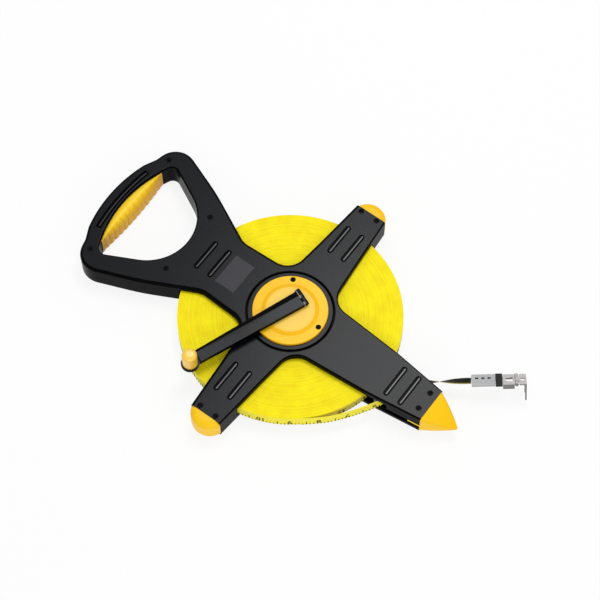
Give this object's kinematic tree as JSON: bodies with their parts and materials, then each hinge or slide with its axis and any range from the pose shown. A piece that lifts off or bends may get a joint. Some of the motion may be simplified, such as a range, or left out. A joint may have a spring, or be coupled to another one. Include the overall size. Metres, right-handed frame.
{
  "type": "surveyor tape reel",
  "caption": "Open-reel long tape in a cross-shaped moulded frame with a carrying handle, fold-over winding crank, ground nose and hooked tape end.",
  "frame": {"origin": "on the spindle axis, level with the back face of the frame, which the reel lies on", "axes": "+Z along the spindle out of the crank side; +X along the handle's line towards the ground nose"},
  "size_m": [0.4163, 0.268, 0.0515],
  "materials": {
    "frame_plastic": "fine moulded texture",
    "amber_plastic": "smooth moulded",
    "tape_plastic": "smooth coated fibreglass",
    "steel": "satin",
    "dark_screws": "blackened",
    "label_grey": "satin foil",
    "bush_plastic": "natural acetal",
    "sleeve_plastic": "smooth",
    "band_rubber": "soft"
  },
  "bodies": {
    "frame": {"front_frame": "frame_plastic", "back_frame": "frame_plastic", "frame_screws": "dark_screws", "label_plate": "label_grey", "upper_bumper": "amber_plastic", "lower_bumper": "amber_plastic", "ground_nose": "amber_plastic", "handle_grip": "amber_plastic", "spindle": "steel", "spindle_nut": "steel", "thrust_washer": "bush_plastic", "retaining_clip": "steel", "roller_pins": "steel", "tape_run": "tape_plastic", "end_sleeve": "sleeve_plastic", "hook_band": "band_rubber", "hook_loop": "steel", "claw_pin": "steel"},
    "reel": {"spool_core": "frame_plastic", "rear_bush": "bush_plastic", "front_bush": "bush_plastic", "tape_coil": "tape_plastic", "crank_hub": "frame_plastic", "crank_disc": "amber_plastic", "disc_screws": "dark_screws", "crank_bracket": "steel", "hinge_pin": "steel"},
    "crank": {"crank_arm": "frame_plastic", "knob_pin": "steel"},
    "knob": {"crank_knob": "amber_plastic"},
    "entry_roller": {"entry_roller": "steel"},
    "exit_roller": {"exit_roller": "steel"},
    "claw": {"hook_claw": "steel"}
  },
  "joints": [
    {"name": "reel_spin", "type": "hinge", "parent": "frame", "child": "reel", "pos_m": [0, 0, 0.013], "axis": [0, 0, 1], "continuous": true},
    {"name": "crank_fold", "type": "hinge", "parent": "reel", "child": "crank", "pos_m": [0.00524, 0.01298, 0.033], "axis": [-0.9272, 0.3746, 0], "range_deg": [0, 180]},
    {"name": "knob_spin", "type": "hinge", "parent": "crank", "child": "knob", "pos_m": [-0.03821, -0.09457, 0.0405], "axis": [0, 0, 1], "continuous": true},
    {"name": "entry_roller_spin", "type": "hinge", "parent": "frame", "child": "entry_roller", "pos_m": [0.10833, -0.01904, 0.013], "axis": [0, 0, 1], "continuous": true},
    {"name": "exit_roller_spin", "type": "hinge", "parent": "frame", "child": "exit_roller", "pos_m": [0.133, 0.01518, 0.013], "axis": [0, 0, 1], "continuous": true},
    {"name": "claw_fold", "type": "hinge", "parent": "frame", "child": "claw", "pos_m": [0.19677, 0.06651, 0.02015], "axis": [0.5223, -0.75, 0.4059], "range_deg": [0, 90]}
  ]
}
